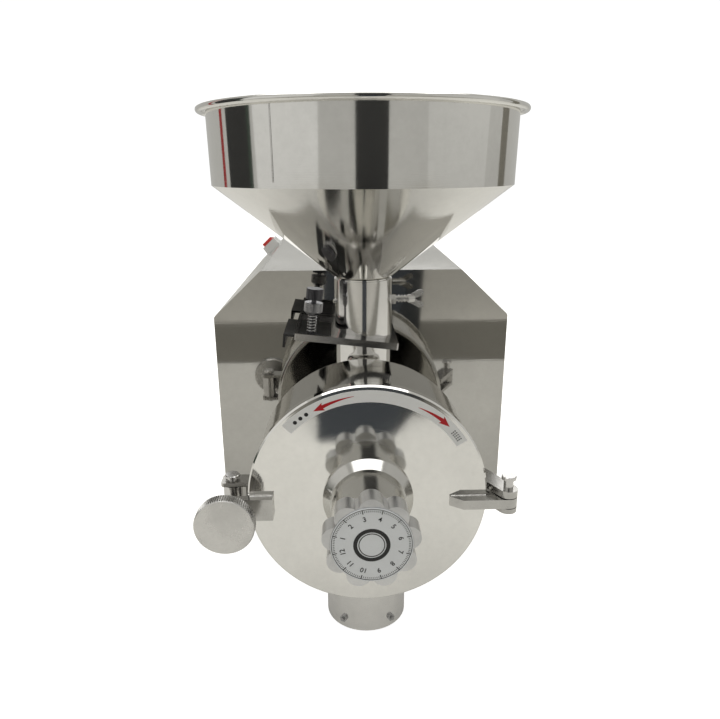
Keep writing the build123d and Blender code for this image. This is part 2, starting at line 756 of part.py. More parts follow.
# ---------------------------------------------------------------- turning parts in the chamber
with BuildPart() as feed_screw:
    ring_y(screw_hub_r, shaft_r, y_disc_back, y_neck_end - 3)
    for step in range(flight_count):
        middle = y_neck_end - 12 - (step + 0.5) * flight_pitch / 3
        turn = radians(120 * step)
        out = Vector(cos(turn), 0, sin(turn))
        across = Vector(-sin(turn), 0, cos(turn))
        blade_plane = Plane(origin=(0, middle, axis_z), x_dir=out,
                            z_dir=Vector(0, cos(blade_pitch), 0) + across * sin(blade_pitch))
        with BuildSketch(blade_plane) as blade:
            with Locations((screw_hub_r + (flight_r - screw_hub_r) / 2 - 1, 0)):
                Rectangle(flight_r - screw_hub_r + 2, 40)
        extrude(blade.sketch, amount=1.5, both=True)
    rod_y(shaft_r, y_disc_back - 5, y_neck_end + 5, mode=Mode.SUBTRACT)
    rod_y(flight_r, y_disc_back, y_neck_end - 3, mode=Mode.INTERSECT)
    ring_y(screw_hub_r, shaft_r, y_disc_back, y_neck_end - 3)
finish(feed_screw, "feed_screw")

with BuildPart() as rotating_disc:
    ring_y(disc_r, shaft_r, y_disc_front, y_disc_back)
    with BuildSketch(facing(y_disc_back + 1)):
        with PolarLocations(window_r, 3, 30):
            Circle(window_width)
    extrude(amount=disc_thick + 2, mode=Mode.SUBTRACT)
    cut_grooves(y_disc_front + groove_depth)
finish(rotating_disc, "rotating_disc")

with BuildPart() as disc_nut:
    with BuildSketch(facing(y_disc_front)):
        RegularPolygon(nut_r, 6)
        Circle(shaft_r, mode=Mode.SUBTRACT)
    extrude(amount=nut_thick)
finish(disc_nut, "disc_nut")

# ---------------------------------------------------------------- the cover and what it carries
with BuildPart() as fixed_disc:
    ring_y(disc_r, fixed_bore_r, y_fixed_front, y_fixed_back)
    cut_grooves(y_fixed_back)
finish(fixed_disc, "fixed_disc")

with BuildPart() as disc_carrier:
    ring_y(carrier_r, 0, y_carrier_front, y_fixed_front)
    turn_y([(0, y_spindle_tip), (spindle_r - 1, y_spindle_tip), (spindle_r, y_spindle_tip + 1),
            (spindle_r, y_carrier_front + 1), (0, y_carrier_front + 1)])
    with BuildSketch(facing(y_carrier_front + 1, z=axis_z + spindle_r)):
        Rectangle(key_width, key_width)
    extrude(amount=y_carrier_front + 1 - y_spindle_tip, mode=Mode.SUBTRACT)
finish(disc_carrier, "disc_carrier")

with BuildPart() as cover:
    turn_y([(boss_bore_r, y_cover_front), (cover_r - cover_edge, y_cover_front),
            (cover_r, y_cover_front + cover_edge), (cover_r, y_cover_back), (boss_bore_r, y_cover_back)])
finish(cover, "cover")

with BuildPart() as cover_gasket:
    ring_y(drum_r - 0.5, drum_r - drum_wall - 4, y_cover_back, y_cover_back + gasket_thick)
finish(cover_gasket, "cover_gasket")

with BuildPart() as adjuster_boss:
    ring_end = y_cover_front - boss_ring_depth
    turn_y([(0, y_cover_front), (boss_ring_r, y_cover_front), (boss_ring_r, y_cover_front - 3),
            (boss_r + 1.5, ring_end), (boss_r, ring_end), (boss_r, y_boss_front + 2),
            (boss_r - 2, y_boss_front), (0, y_boss_front)])
    rod_y(spindle_r + running, y_boss_front - 1, y_cover_front + 1, mode=Mode.SUBTRACT)
    with BuildSketch(facing(y_cover_front, z=axis_z + spindle_r)) as key_slot:
        Rectangle(key_width - 2 * running, key_width - 2 * running)
    extrude(key_slot.sketch, amount=key_length, mode=Mode.SUBTRACT)
finish(adjuster_boss, "adjuster_boss")

with BuildPart() as guide_key:
    with BuildSketch(facing(y_cover_front, z=axis_z + spindle_r)):
        Rectangle(key_width - 2 * running, key_width - 2 * running)
    extrude(amount=key_length)
finish(guide_key, "guide_key")

with BuildPart() as arc_label:
    with BuildSketch(facing(y_cover_front)) as arc_face:
        Circle(label_outer_r)
        Circle(label_inner_r, mode=Mode.SUBTRACT)
        with BuildLine():
            Polyline((0, 0), sweep_point(90 + label_left), sweep_point(90 + (label_left - label_right) / 2),
                     sweep_point(90 - label_right), close=True)
        make_face(mode=Mode.INTERSECT)
    extrude(arc_face.sketch, amount=label_thick)
finish(arc_label, "arc_label")

with BuildPart() as star_knob:
    with BuildSketch(facing(y_knob_back)) as star:
        Circle(knob_r - lobe_r * 0.62)
        with PolarLocations(knob_r - lobe_r, knob_lobes, knob_turn):
            Circle(lobe_r)
    extrude(star.sketch, amount=knob_thick)
    rod_y(dial_r + 0.4, y_knob_front - 1, y_knob_front + dial_thick - dial_proud, mode=Mode.SUBTRACT)
    rod_y(spindle_r + running, y_spindle_tip - 2, y_knob_back + 1, mode=Mode.SUBTRACT)
finish(star_knob, "star_knob")

with BuildPart() as dial:
    rod_y(dial_r, y_dial, y_dial + dial_thick)
    rod_y(dial_r - dial_rim, y_dial - 1, y_dial + dial_recess, mode=Mode.SUBTRACT)
finish(dial, "dial")

# ---------------------------------------------------------------- hinge, on the right
def hinge_level(z):
    """A level plane over the hinge pin: local x to the right, local y to the back."""
    return Plane(origin=(hinge_x, y_hinge, z))


with BuildPart() as hinge_bracket:
    for z0, thick in ((z_arm + arm_height + ear_gap, upper_ear), (z_arm - ear_gap - lower_ear, lower_ear)):
        with BuildSketch(hinge_level(z0)) as ear:
            Circle(knuckle_r)
            with BuildLine():
                Polyline((-7.5, -5), (6.4, 6.4), (bracket_root_x, bracket_root_y),
                         (bracket_in_x, bracket_root_y), (bracket_in_x, bracket_front_y),
                         (bracket_lip_x, bracket_front_y), close=True)
            make_face()
            Circle(pin_r, mode=Mode.SUBTRACT)
        extrude(ear.sketch, amount=thick)
    with BuildSketch(hinge_level(z_arm - ear_gap - lower_ear)) as web:
        with Locations(((bracket_in_x + bracket_web_x) / 2, (bracket_front_y + bracket_root_y) / 2)):
            Rectangle(bracket_web_x - bracket_in_x, bracket_root_y - bracket_front_y)
    extrude(web.sketch, amount=lower_ear + 2 * ear_gap + arm_height + upper_ear)
    rod_y(drum_r, y_drum_front - 30, y_drum_back, mode=Mode.SUBTRACT)
finish(hinge_bracket, "hinge_bracket")

with BuildPart() as hinge_pin:
    head = z_arm + arm_height + ear_gap + upper_ear + pin_stand
    bottom = z_arm - ear_gap - lower_ear
    turn_z([(0, bottom - 2), (pin_r, bottom - 2), (pin_r, head), (pin_head_r, head),
            (pin_head_r, head + pin_head - head_edge), (pin_head_r - head_edge, head + pin_head),
            (0, head + pin_head)], hinge_x, y_hinge)
finish(hinge_pin, "hinge_pin")

with BuildPart() as hinge_arm:
    with BuildSketch(hinge_level(z_arm)) as arm:
        Circle(knuckle_r)
        with BuildLine():
            Polyline((0, -knuckle_r), (0, knuckle_r), (arm_step_x, knuckle_r),
                     (arm_step_x, y_cover_front - y_hinge), (arm_end_x, y_cover_front - y_hinge),
                     (arm_end_x, y_cover_front - y_hinge - 2), (arm_end_x + 12, -knuckle_r), close=True)
        make_face()
        Circle(pin_r + running, mode=Mode.SUBTRACT)
    extrude(arm.sketch, amount=arm_height)
finish(hinge_arm, "hinge_arm")

# ---------------------------------------------------------------- clamp, on the left
def clamp_level(z):
    """A level plane over the clamp pin."""
    return Plane(origin=(clamp_x, y_clamp, z))


with BuildPart() as clamp_bracket:
    ear_span = eye_height + 2 * ear_gap
    for z0 in (z_bolt - ear_span / 2 - clamp_ear, z_bolt + ear_span / 2):
        with BuildSketch(clamp_level(z0)) as ear:
            with Locations((6, 0)):
                Rectangle(32, 2 * eye_r)
            fillet(ear.vertices().group_by(Axis.X)[0], 3)
            Circle(clamp_pin_r, mode=Mode.SUBTRACT)
        extrude(ear.sketch, amount=clamp_ear)
    with BuildSketch(clamp_level(z_bolt - ear_span / 2 - clamp_ear)) as web:
        with Locations((18, 0)):
            Rectangle(8, 2 * eye_r)
    extrude(web.sketch, amount=ear_span + 2 * clamp_ear)
    rod_y(drum_r, y_drum_front - 10, y_drum_back, mode=Mode.SUBTRACT)
finish(clamp_bracket, "clamp_bracket")

with BuildPart() as clamp_pin:
    head = z_bolt + ear_span / 2 + clamp_ear + clamp_pin_stand
    bottom = z_bolt - ear_span / 2 - clamp_ear
    turn_z([(0, bottom - 3), (clamp_pin_r, bottom - 3), (clamp_pin_r, head), (pin_head_r, head),
            (pin_head_r, head + pin_head - head_edge), (pin_head_r - head_edge, head + pin_head),
            (0, head + pin_head)], clamp_x, y_clamp)
finish(clamp_pin, "clamp_pin")

y_clamp_hub = y_lug_front - knob_clear
y_clamp_knob = y_clamp_hub - clamp_hub
with BuildPart() as swing_bolt:
    with BuildSketch(clamp_level(z_bolt - eye_height / 2)) as eye:
        Circle(eye_r)
    extrude(eye.sketch, amount=eye_height)
    rod_y(bolt_r, y_clamp_knob - clamp_knob_thick / 2, y_clamp, clamp_x, z_bolt)
    with BuildSketch(clamp_level(z_bolt - eye_height)) as pin_hole:
        Circle(clamp_pin_r + running)
    extrude(pin_hole.sketch, amount=2 * eye_height, mode=Mode.SUBTRACT)
finish(swing_bolt, "swing_bolt")

with BuildPart() as clamp_knob:
    y_face = y_clamp_knob - clamp_knob_thick
    turn_y([(0, y_face), (clamp_knob_r - 1.2, y_face), (clamp_knob_r, y_face + 1.2),
            (clamp_knob_r, y_clamp_knob - 1.2), (clamp_knob_r - 1.2, y_clamp_knob),
            (clamp_hub_r, y_clamp_knob), (clamp_hub_r, y_clamp_hub), (0, y_clamp_hub)], clamp_x, z_bolt)
    rod_y(bolt_r + running, y_clamp_knob - clamp_knob_thick / 2 - 1, y_clamp_hub + 1, clamp_x, z_bolt,
          Mode.SUBTRACT)
    knurl(facing(y_clamp_knob + 1, clamp_x, z_bolt), clamp_knob_r, 1.2, 84, clamp_knob_thick + 2)
finish(clamp_knob, "clamp_knob")

with BuildPart() as clamp_lug:
    with BuildSketch(facing(y_cover_front)) as lug_face:
        with Locations((-(lug_outer + lug_inner) / 2, clamp_z)):
            Rectangle(lug_outer - lug_inner, lug_height)
        with Locations(((clamp_x - lug_outer) / 2 - 5, clamp_z)):
            Rectangle(lug_outer + clamp_x + 10, 2 * (bolt_r + slot_gap), mode=Mode.SUBTRACT)
        with Locations((clamp_x, clamp_z)):
            Circle(bolt_r + slot_gap, mode=Mode.SUBTRACT)
    extrude(lug_face.sketch, amount=lug_thick)
finish(clamp_lug, "clamp_lug")

# ---------------------------------------------------------------- gate under the hopper
slot_height = slide_thick + 2 * loose
slide_up = gate_skin + loose
gate_middle_x = (gate_right - gate_left) / 2
gate_middle_y = (gate_back - gate_front) / 2
window_left = -gate_left + gate_rail
window_right = -throat_r - 5
with BuildPart() as gate_frame:
    with BuildSketch(gate_plane(0)) as frame_face:
        with Locations((gate_middle_x, gate_middle_y)):
            RectangleRounded(gate_left + gate_right, gate_back + gate_front, 2)
    extrude(frame_face.sketch, amount=gate_thick)
    with BuildSketch(gate_plane(gate_skin)) as slide_slot:
        with Locations(((slide_inner_end + loose - gate_left - 5) / 2, (slide_back - slide_front) / 2)):
            Rectangle(slide_inner_end + loose + gate_left + 5, slide_back + slide_front + 2 * loose)
    extrude(slide_slot.sketch, amount=slot_height, mode=Mode.SUBTRACT)
    with BuildSketch(gate_plane(gate_skin + slot_height - 0.5)) as window:
        with Locations(((window_left + window_right) / 2, gate_middle_y)):
            Rectangle(window_right - window_left, gate_back + gate_front - 2 * gate_rail)
    extrude(window.sketch, amount=gate_thick, mode=Mode.SUBTRACT)
    ring_z(throat_r - throat_wall, 0, z_gate - 20, z_gate + 20, mode=Mode.SUBTRACT)
finish(gate_frame, "gate_frame")

# a strip across the window carries the thumb screw
with BuildPart() as gate_bridge:
    with BuildSketch(gate_plane(gate_skin + slot_height)) as bridge_face:
        with Locations((screw_along, gate_middle_y)):
            Rectangle(bridge_width, gate_back + gate_front - 2 * gate_rail)
        with Locations((screw_along, screw_across)):
            Circle(gate_screw_r + running, mode=Mode.SUBTRACT)
    extrude(bridge_face.sketch, amount=gate_thick - gate_skin - slot_height)
finish(gate_bridge, "gate_bridge")

with BuildPart() as gate_slide:
    with BuildSketch(gate_plane(slide_up)) as slide_face:
        with Locations(((slide_inner_end - slide_outer_end) / 2, (slide_back - slide_front) / 2)):
            Rectangle(slide_inner_end + slide_outer_end, slide_back + slide_front)
    extrude(slide_face.sketch, amount=slide_thick)
    with BuildSketch(gate_plane(slide_up)) as tab_face:
        with Locations((-slide_outer_end + slide_thick / 2, (slide_back - slide_front) / 2)):
            Rectangle(slide_thick, slide_back + slide_front)
    extrude(tab_face.sketch, amount=-slide_tab)
finish(gate_slide, "gate_slide")

head_up = lock_nut_thick + 3.5
with BuildPart() as gate_screw:
    tip = slide_up + slide_thick + loose - gate_thick
    nut_up = spring_length + 0.2
    turn_on(gate_plane(gate_thick, screw_along, screw_across),
            [(0, tip), (gate_screw_r, tip), (gate_screw_r, nut_up + head_up),
             (screw_top_r, nut_up + head_up), (screw_top_r, nut_up + head_up + screw_top),
             (0, nut_up + head_up + screw_top)])
    knurl(gate_plane(gate_thick + nut_up + head_up - 1, screw_along, screw_across),
          screw_top_r, 0.9, 36, screw_top + 2)
finish(gate_screw, "gate_screw")

with BuildPart() as gate_lock_nut:
    turn_on(gate_plane(gate_thick + nut_up, screw_along, screw_across),
            [(gate_screw_r + running, 0), (lock_nut_r - 3, 0), (lock_nut_r, 3),
             (lock_nut_r, lock_nut_thick), (gate_screw_r + running, lock_nut_thick)])
    knurl(gate_plane(gate_thick + nut_up - 1, screw_along, screw_across),
          lock_nut_r, 0.9, 40, lock_nut_thick + 2)
finish(gate_lock_nut, "gate_lock_nut")

spring_foot = gate_plane(gate_thick + spring_wire_r, screw_along, screw_across)
with BuildPart() as gate_spring:
    with BuildLine() as coil:
        Helix(pitch=(spring_length - 2 * spring_wire_r) / spring_turns,
              height=spring_length - 2 * spring_wire_r, radius=spring_r,
              center=spring_foot.origin, direction=spring_foot.z_dir)
    with BuildSketch(Plane(origin=coil.line @ 0, z_dir=coil.line % 0)):
        Circle(spring_wire_r)
    sweep(path=coil.line)
finish(gate_spring, "gate_spring")

# ---------------------------------------------------------------- throat and hopper
z_wing = z_throat + wing_up
stud_turn = radians(stud_angle)
stud_way = Vector(-sin(stud_turn), -cos(stud_turn), 0)
stud_plane = Plane(origin=Vector(0, y_hopper, z_wing) + stud_way * (throat_r - 2),
                   x_dir=(cos(stud_turn), -sin(stud_turn), 0), z_dir=stud_way)
with BuildPart() as throat:
    ring_z(throat_r, 0, z_gate - 10, z_cone - 0.4)
    with BuildSketch(gate_plane(gate_thick)) as gate_top:
        Rectangle(3 * throat_r, 3 * throat_r)
    extrude(gate_top.sketch, amount=-40, mode=Mode.SUBTRACT)
    with BuildSketch(side_plane(throat_r - 3, z_wing)) as boss_face:
        RegularPolygon(wing_boss_r, 6)
    extrude(boss_face.sketch, amount=3 + wing_boss)
    with BuildSketch(stud_plane) as stud_face:
        Circle(stud_r)
    extrude(stud_face.sketch, amount=stud_rise + 2, taper=18)
    ring_z(throat_r - throat_wall, 0, z_gate - 20, z_cone + 1, mode=Mode.SUBTRACT)
    with BuildSketch(side_plane(0, z_wing)) as wing_hole:
        Circle(wing_r + running)
    extrude(wing_hole.sketch, amount=throat_r + 20, mode=Mode.SUBTRACT)
finish(throat, "throat")

with BuildPart() as wing_bolt:
    x0 = throat_r - throat_wall + 0.1
    x1 = throat_r + wing_boss + wing_thread
    with BuildSketch(side_plane(x0, z_wing)) as rod_face:
        Circle(wing_r)
    extrude(rod_face.sketch, amount=x1 - x0)
    for step in range(4):
        with BuildSketch(side_plane(throat_r + wing_boss + 2.4 + 3.2 * step, z_wing)) as thread_ring:
            Circle(wing_r + 1)
        extrude(thread_ring.sketch, amount=1.6)
    with BuildSketch(side_plane(x1, z_wing)) as hub_face:
        Circle(wing_hub_r)
    extrude(hub_face.sketch, amount=wing_hub, taper=10)
    for lean in (1, -1):
        with BuildSketch(facing(y_hopper + wing_sheet / 2, x1 + wing_hub / 2, z_wing)) as wing_face:
            with BuildLine():
                Polyline((-2, 0), (3, 0), (wing_span, lean * 5), (wing_span - 1, lean * 9.5),
                         (wing_span - 6, lean * 9.5), (-2, lean * 4), close=True)
            make_face()
            fillet(wing_face.vertices().sort_by(Axis.X)[-2:], 1.5)
        extrude(wing_face.sketch, amount=wing_sheet)
finish(wing_bolt, "wing_bolt")

with BuildPart() as hopper:
    spigot_r = throat_r - throat_wall - loose
    with BuildSketch(facing(y_hopper, 0, 0)) as wall:
        with BuildLine() as section:
            Polyline((spigot_r, z_cone - spigot_length), (spigot_r, z_cone + 1), (bowl_base_r, z_bowl),
                     (bowl_r, z_rim - 4), (rim_r - rim_bead_r, z_rim - rim_bead_r))
            offset(amount=hopper_sheet, side=Side.LEFT)
        make_face()
        with Locations((rim_r - rim_bead_r, z_rim - rim_bead_r)):
            Circle(rim_bead_r)
    revolve(wall.sketch, axis=Axis((0, y_hopper, 0), (0, 0, 1)))
finish(hopper, "hopper")
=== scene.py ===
# %% [markdown]
# # An electric disc mill for grain
# The mill comes in as a fixed frame: every solid part already has its true shape and place in
# metres, so this lesson only gives the parts their finishes and adds the small things that are
# printed, welded or stuck on.

# %% Load the frame and keep its box
import json
from math import cos, pi, radians, sin

import bmesh
import bpy
from mathutils import Matrix, Vector


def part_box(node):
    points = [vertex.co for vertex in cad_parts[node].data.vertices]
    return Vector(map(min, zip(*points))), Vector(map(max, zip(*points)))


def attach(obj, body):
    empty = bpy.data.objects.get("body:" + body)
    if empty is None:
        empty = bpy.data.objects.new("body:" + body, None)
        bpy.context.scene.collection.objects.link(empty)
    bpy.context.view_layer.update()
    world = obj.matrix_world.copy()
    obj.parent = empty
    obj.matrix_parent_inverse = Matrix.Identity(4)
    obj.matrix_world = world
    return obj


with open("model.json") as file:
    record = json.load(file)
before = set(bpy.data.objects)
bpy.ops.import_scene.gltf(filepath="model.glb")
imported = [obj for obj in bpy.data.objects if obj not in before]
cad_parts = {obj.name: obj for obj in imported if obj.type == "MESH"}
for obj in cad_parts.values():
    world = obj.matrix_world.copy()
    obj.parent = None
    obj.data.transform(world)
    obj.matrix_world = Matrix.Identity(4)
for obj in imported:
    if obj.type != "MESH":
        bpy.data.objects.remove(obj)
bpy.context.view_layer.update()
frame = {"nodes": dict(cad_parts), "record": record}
MM = 0.001
nodes = frame["nodes"]

# %% [markdown]
# ## Where the main parts are
# A part's box gives its middle and its ends. The shaft's height, the cover's face and the hopper's
# middle are read once here and used by everything that is placed later.

# %% Stations read from the parts
def middle(node):
    low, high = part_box(node)
    return (low + high) / 2


def low(node):
    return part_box(node)[0]


def high(node):
    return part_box(node)[1]


shaft_z = middle("main_shaft").z
cover_face = low("cover").y
dial_recess = 0.2 * MM          # the printed face lies this far behind the dial's rim
dial_face = low("dial").y + dial_recess
hopper_mid = middle("hopper")
print("shaft height", round(shaft_z, 4), "cover face", round(cover_face, 4))

# %% [markdown]
# ## The camera
# A tall machine seen from slightly above the dial. The lens is a wide 31 mm on a 36 mm sensor, and
# the camera looks down by about 17 degrees, which opens the hopper's rim into a narrow ellipse.

# %% Make the camera
camera_data = bpy.data.cameras.new("camera")
camera_data.sensor_width = 36.0
camera_data.lens = 31.38
camera = bpy.data.objects.new("camera", camera_data)
bpy.context.scene.collection.objects.link(camera)
bpy.context.scene.camera = camera
look_down, look_right, tip = 0.300, 0.028, 0.004
camera.location = Vector((-0.022, -0.826, 0.478))
camera.rotation_euler = (Matrix.Rotation(-look_right, 3, "Z") @ Matrix.Rotation(pi / 2 - look_down, 3, "X")
                         @ Matrix.Rotation(-tip, 3, "Z")).to_euler()
print("camera at", [round(v, 3) for v in camera.location])

# %% [markdown]
# ## The studio
# Polished steel shows the room, not itself, so the room is the most important finish here. The room
# is a white one: a pale floor, soft lamps, and a few grey and dark boards out of the camera's sight.
# The boards are what give the steel its dark stripes; without them it would look like white paper.

# %% Helpers for plain paint and boards
def plain(name, color, roughness=0.6):
    made = bpy.data.materials.new(name)
    made.use_nodes = True
    shader = made.node_tree.nodes["Principled BSDF"]
    shader.inputs["Base Color"].default_value = (*color, 1)
    shader.inputs["Roughness"].default_value = roughness
    return made


def board(name, corners, material, seen=False):
    """A flat board that is part of the room."""
    mesh = bpy.data.meshes.new(name)
    mesh.from_pydata([tuple(c) for c in corners], [], [tuple(range(len(corners)))])
    made = bpy.data.objects.new(name, mesh)
    bpy.context.scene.collection.objects.link(made)
    mesh.materials.append(material)
    made.visible_camera = seen
    return made


print("helpers ready")

# %% The pale floor
floor_paint = bpy.data.materials.new("pale_floor")
floor_paint.use_nodes = True
tree = floor_paint.node_tree
tree.nodes.remove(tree.nodes["Principled BSDF"])
matt = tree.nodes.new("ShaderNodeBsdfDiffuse")
matt.inputs["Color"].default_value = (0.62, 0.61, 0.57, 1)
glow = tree.nodes.new("ShaderNodeEmission")
glow.inputs["Color"].default_value = (1, 1, 1, 1)
seen_by = tree.nodes.new("ShaderNodeLightPath")
brighter = tree.nodes.new("ShaderNodeMath")
brighter.operation = "MULTIPLY"
brighter.inputs[1].default_value = 0.95
total = tree.nodes.new("ShaderNodeAddShader")
tree.links.new(seen_by.outputs["Is Camera Ray"], brighter.inputs[0])
mirrored = tree.nodes.new("ShaderNodeMath")
mirrored.operation = "MULTIPLY_ADD"
mirrored.inputs[1].default_value = 0.16
tree.links.new(seen_by.outputs["Is Glossy Ray"], mirrored.inputs[0])
tree.links.new(brighter.outputs[0], mirrored.inputs[2])
tree.links.new(mirrored.outputs[0], glow.inputs["Strength"])
tree.links.new(matt.outputs[0], total.inputs[0])
tree.links.new(glow.outputs[0], total.inputs[1])
tree.links.new(total.outputs[0], tree.nodes["Material Output"].inputs["Surface"])
board("floor", [(-6, -6, 0), (6, -6, 0), (6, 6, 0), (-6, 6, 0)], floor_paint, seen=True)
print("floor made")

# %% The white surroundings
world = bpy.data.worlds.new("studio")
bpy.context.scene.world = world
world.use_nodes = True
air = world.node_tree
air.nodes["Background"].inputs["Color"].default_value = (0.48, 0.475, 0.45, 1)
air.nodes["Background"].inputs["Strength"].default_value = 1.0
backdrop = air.nodes.new("ShaderNodeBackground")
backdrop.inputs["Color"].default_value = (1, 1, 1, 1)
backdrop.inputs["Strength"].default_value = 1.05
sight = air.nodes.new("ShaderNodeLightPath")
either = air.nodes.new("ShaderNodeMixShader")
air.links.new(sight.outputs["Is Camera Ray"], either.inputs["Fac"])
air.links.new(air.nodes["Background"].outputs[0], either.inputs[1])
air.links.new(backdrop.outputs[0], either.inputs[2])
air.links.new(either.outputs[0], air.nodes["World Output"].inputs["Surface"])
bpy.context.scene.view_settings.view_transform = "Standard"
print("surroundings made")

# %% Soft lamps
def softbox(name, place, aim, size, glow, color=(1, 1, 1)):
    """An area lamp whose face looks as bright as glow, where 1 is white."""
    data = bpy.data.lights.new(name, "AREA")
    data.shape = "RECTANGLE"
    data.size, data.size_y = size
    data.energy = glow * pi * size[0] * size[1]
    data.color = color
    made = bpy.data.objects.new(name, data)
    bpy.context.scene.collection.objects.link(made)
    made.location = place
    made.rotation_euler = (Vector(aim) - Vector(place)).to_track_quat("-Z", "Y").to_euler()
    return made


softbox("lamp_above", (0, -0.1, 2.4), (0, 0, 0), (2.6, 2.2), 2.0)
softbox("lamp_left", (-2.0, -1.5, 1.2), (0, -0.1, 0.4), (2.4, 2.2), 0.22)
softbox("lamp_right", (2.1, -1.0, 1.2), (0, -0.1, 0.4), (2.4, 2.2), 0.08)
softbox("lamp_behind", (0.0, 2.6, 1.6), (0, 0, 0.3), (2.4, 1.4), 1.1)
print("four soft lamps")

# %% Boards that put the stripes in the steel
navy = plain("board_navy", (0.008, 0.014, 0.022))
black = plain("board_black", (0.02, 0.02, 0.02))
green = plain("board_green", (0.03, 0.05, 0.035))
red = plain("board_red", (0.35, 0.02, 0.02))
warm = plain("board_warm", (0.22, 0.21, 0.18))
grey = plain("board_grey", (0.74, 0.72, 0.67))


def upright(name, x0, x1, z0, z1, y, material):
    return board(name, [(x0, y, z0), (x1, y, z0), (x1, y, z1), (x0, y, z1)], material)


def side_board(name, x, y0, y1, z0, z1, material):
    return board(name, [(x, y0, z0), (x, y1, z0), (x, y1, z1), (x, y0, z1)], material)


board("stand_low", [(-0.07, -0.80, 0.004), (0.07, -0.82, 0.004), (0.19, -1.10, 0.004),
                    (0.22, -1.18, 0.36), (-0.07, -1.18, 0.36)], navy)
upright("stand_high", -0.13, 0.30, 0.34, 1.5, -1.32, black)
def on_floor(name, x, y0, y1, material):
    return board(name, [(-x, y0, 0.002), (x, y0, 0.002), (x, y1, 0.002), (-x, y1, 0.002)], material)


on_floor("room_floor_near", 5, -1.35, -0.93, warm)
on_floor("room_floor_far", 5, -5.5, -1.35, grey)
side_board("strip_left", -1.7, -0.30, 0.42, 0.0, 1.6, black)
side_board("strip_left_edge", -1.7, -0.40, -0.30, 0.0, 1.6, green)
side_board("strip_left_red", -1.7, 0.60, 0.76, 0.0, 1.6, red)
side_board("strip_right", 1.8, 0.45, 0.85, 0.0, 1.6, warm)
print("eight boards")

# %% [markdown]
# ## Shared effects
# Handling leaves the same traces on every steel part: a faint haze of wiping and fingers, fine
# lines from the polishing wheel or the lathe, and slightly rolled edges. The haze and the lines are
# each one node group with named inputs, built once, and every finish below places it with its own
# values; the rolled edges are not drawn.

# %% Helpers for node trees
def group(name, inputs, outputs):
    tree = bpy.data.node_groups.new(name, "ShaderNodeTree")
    for label, kind, value in inputs:
        made = tree.interface.new_socket(name=label, in_out="INPUT", socket_type=kind)
        if value is not None:
            made.default_value = value
    for label, kind in outputs:
        tree.interface.new_socket(name=label, in_out="OUTPUT", socket_type=kind)
    return tree, tree.nodes.new("NodeGroupInput"), tree.nodes.new("NodeGroupOutput")


def noise(tree, scale, detail=3.0, rough=0.55):
    made = tree.nodes.new("ShaderNodeTexNoise")
    made.inputs["Scale"].default_value = scale
    made.inputs["Detail"].default_value = detail
    made.inputs["Roughness"].default_value = rough
    return made


def spread(tree, value, low_in, high_in, low_out, high_out):
    """Stretch a value from one span to another, held inside it."""
    made = tree.nodes.new("ShaderNodeMapRange")
    for socket, number in zip(("From Min", "From Max", "To Min", "To Max"),
                              (low_in, high_in, low_out, high_out)):
        made.inputs[socket].default_value = number
    tree.links.new(value, made.inputs["Value"])
    return made.outputs["Result"]


def calculate(tree, work, a, b):
    made = tree.nodes.new("ShaderNodeMath")
    made.operation = work
    for socket, value in zip(made.inputs, (a, b)):
        if isinstance(value, (int, float)):
            socket.default_value = value
        else:
            tree.links.new(value, socket)
    return made.outputs[0]


print("helpers ready")

# %% The wiping haze group
haze, haze_in, haze_out = group(
    "wiping_haze",
    [("Place", "NodeSocketVector", None), ("Size", "NodeSocketFloat", 9.0),
     ("Least", "NodeSocketFloat", 0.08), ("Most", "NodeSocketFloat", 0.2)],
    [("Roughness", "NodeSocketFloat"), ("Cloud", "NodeSocketFloat")])
cloud = noise(haze, 1, 4)
haze.links.new(haze_in.outputs["Place"], cloud.inputs["Vector"])
haze.links.new(haze_in.outputs["Size"], cloud.inputs["Scale"])
fine_cloud = noise(haze, 1, 5, 0.7)
haze.links.new(haze_in.outputs["Place"], fine_cloud.inputs["Vector"])
haze.links.new(calculate(haze, "MULTIPLY", haze_in.outputs["Size"], 14), fine_cloud.inputs["Scale"])
both = calculate(haze, "ADD", calculate(haze, "MULTIPLY", cloud.outputs["Fac"], 0.7),
                 calculate(haze, "MULTIPLY", fine_cloud.outputs["Fac"], 0.3))
share = spread(haze, both, 0.36, 0.66, 0, 1)
span = calculate(haze, "SUBTRACT", haze_in.outputs["Most"], haze_in.outputs["Least"])
haze.links.new(calculate(haze, "ADD", calculate(haze, "MULTIPLY", share, span), haze_in.outputs["Least"]),
               haze_out.inputs["Roughness"])
haze.links.new(share, haze_out.inputs["Cloud"])
print("group", haze.name)

# %% The polishing lines group
lines, lines_in, lines_out = group(
    "polishing_lines",
    [("Place", "NodeSocketVector", None), ("Stretch", "NodeSocketVector", (20, 20, 1500))],
    [("Height", "NodeSocketFloat")])
stretched = lines.nodes.new("ShaderNodeVectorMath")
stretched.operation = "MULTIPLY"
lines.links.new(lines_in.outputs["Place"], stretched.inputs[0])
lines.links.new(lines_in.outputs["Stretch"], stretched.inputs[1])
scratch = noise(lines, 1, 2, 0.6)
lines.links.new(stretched.outputs[0], scratch.inputs["Vector"])
lines.links.new(scratch.outputs["Fac"], lines_out.inputs["Height"])
print("group", lines.name)

# %% The turning marks group
turned, turned_in, turned_out = group(
    "turning_marks",
    [("Place", "NodeSocketVector", None), ("Centre", "NodeSocketVector", (0, 0, 0)),
     ("Across", "NodeSocketVector", (1, 0, 1)), ("Along", "NodeSocketVector", (0, 1, 0)),
     ("Count", "NodeSocketFloat", 900.0)],
    [("Height", "NodeSocketFloat")])
from_centre = turned.nodes.new("ShaderNodeVectorMath")
from_centre.operation = "SUBTRACT"
turned.links.new(turned_in.outputs["Place"], from_centre.inputs[0])
turned.links.new(turned_in.outputs["Centre"], from_centre.inputs[1])


